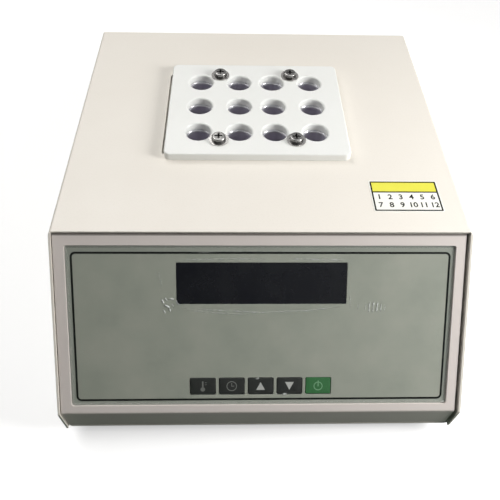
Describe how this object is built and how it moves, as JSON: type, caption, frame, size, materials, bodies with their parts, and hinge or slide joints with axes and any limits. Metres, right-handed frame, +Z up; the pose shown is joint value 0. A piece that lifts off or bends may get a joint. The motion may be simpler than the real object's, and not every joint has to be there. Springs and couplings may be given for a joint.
{
  "type": "chemical oxygen demand reactor",
  "caption": "Bench dry-block digester: sheet-metal case with sloping console, white hole plate over a heated metal block for digestion tubes, display, keys and rear mains inlet.",
  "frame": {"origin": "bottom centre of the whole object's bounding box, on the bench under the feet", "axes": "+Z up, -Y towards the user and the console, +X to the user's right"},
  "size_m": [0.2438, 0.2844, 0.1197],
  "materials": {
    "case_paint": "satin cream powder coat",
    "panel_paint": "satin warm grey paint",
    "steel_screws": "bright zinc plate",
    "rubber": "matt",
    "label": "smooth printed sticker",
    "aluminium": "milled",
    "overlay_print": "fine matt polyester film",
    "clear_film": "clear, lightly wrinkled",
    "dark_window": "smoked gloss",
    "black_plastic": "fine matt",
    "green_key": "fine matt",
    "black_steel": "black coated steel",
    "glass": "polished",
    "circuit_board": "green solder mask",
    "white_plastic": "smooth",
    "hole_plate_white": "smooth fluoropolymer",
    "stainless": "polished stainless steel",
    "fibre": "ceramic fibre blanket",
    "insulating_board": "calcium silicate board",
    "galvanised": "galvanised",
    "brass": "bright",
    "gloss_black": "gloss",
    "grey_plastic": "fine matt",
    "green_plastic": "fine matt",
    "core_steel": "varnished laminations",
    "copper_winding": "taped copper winding",
    "wire_sleeve": "silicone sleeve",
    "fuse_glass": "glass with metal caps"
  },
  "bodies": {
    "case": {"cover": "case_paint", "front_panel": "panel_paint", "base_tray": "case_paint", "rear_panel": "case_paint", "cover_screws": "steel_screws", "rubber_feet": "rubber", "foot_screws": "steel_screws", "number_label": "label", "overlay_backplate": "aluminium", "membrane_overlay": "overlay_print", "protective_film": "clear_film", "display_window": "dark_window", "display_frame": "black_steel", "display_glass": "glass", "display_board": "circuit_board", "key_switches": "grey_plastic", "control_board": "circuit_board", "controller_chip": "black_plastic", "cable_header": "white_plastic", "buzzer": "black_plastic", "heating_block": "aluminium", "heater_plate": "aluminium", "hole_plate": "hole_plate_white", "plate_screws": "stainless", "spring_washers": "stainless", "flat_washers": "stainless", "cartridge_heaters": "stainless", "temperature_probe": "stainless", "overheat_cutout": "grey_plastic", "insulation_jacket": "fibre", "insulation_base": "insulating_board", "heat_shield": "galvanised", "block_pillars": "stainless", "pillar_screws": "steel_screws", "power_inlet": "black_plastic", "inlet_pins": "brass", "inlet_screws": "steel_screws", "power_board": "circuit_board", "heater_relay": "grey_plastic", "triac_heatsink": "aluminium", "power_capacitor": "aluminium", "terminal_block": "green_plastic", "transformer_core": "core_steel", "transformer_coil": "copper_winding", "transformer_screws": "steel_screws", "earth_stud": "brass", "wiring_harness": "wire_sleeve", "tray_screws": "steel_screws", "m3_screws": "steel_screws", "board_spacers": "aluminium", "m3_nuts": "steel_screws", "m4_nuts": "steel_screws"},
    "temperature_key": {"temperature_key": "black_plastic"},
    "timer_key": {"timer_key": "black_plastic"},
    "up_key": {"up_key": "black_plastic"},
    "down_key": {"down_key": "black_plastic"},
    "start_key": {"start_key": "green_key"},
    "power_rocker": {"power_rocker": "gloss_black"},
    "fuse_drawer": {"fuse_drawer": "black_plastic", "fuse": "fuse_glass"}
  },
  "joints": [
    {"name": "temperature_key_press", "type": "slide", "parent": "case", "child": "temperature_key", "axis": [0, 0.7314, -0.6819], "range_m": [0, 0.0005], "stiffness_N_per_m": 2000},
    {"name": "timer_key_press", "type": "slide", "parent": "case", "child": "timer_key", "axis": [0, 0.7314, -0.6819], "range_m": [0, 0.0005], "stiffness_N_per_m": 2000},
    {"name": "up_key_press", "type": "slide", "parent": "case", "child": "up_key", "axis": [0, 0.7314, -0.6819], "range_m": [0, 0.0005], "stiffness_N_per_m": 2000},
    {"name": "down_key_press", "type": "slide", "parent": "case", "child": "down_key", "axis": [0, 0.7314, -0.6819], "range_m": [0, 0.0005], "stiffness_N_per_m": 2000},
    {"name": "start_key_press", "type": "slide", "parent": "case", "child": "start_key", "axis": [0, 0.7314, -0.6819], "range_m": [0, 0.0005], "stiffness_N_per_m": 2000},
    {"name": "power_rocker_tilt", "type": "hinge", "parent": "case", "child": "power_rocker", "pos_m": [0.078, 0.13628, 0.0734], "axis": [0, 0, 1], "range_deg": [0, 20]},
    {"name": "fuse_drawer_pull", "type": "slide", "parent": "case", "child": "fuse_drawer", "axis": [0, 1, 0], "range_m": [0, 0.014]}
  ]
}
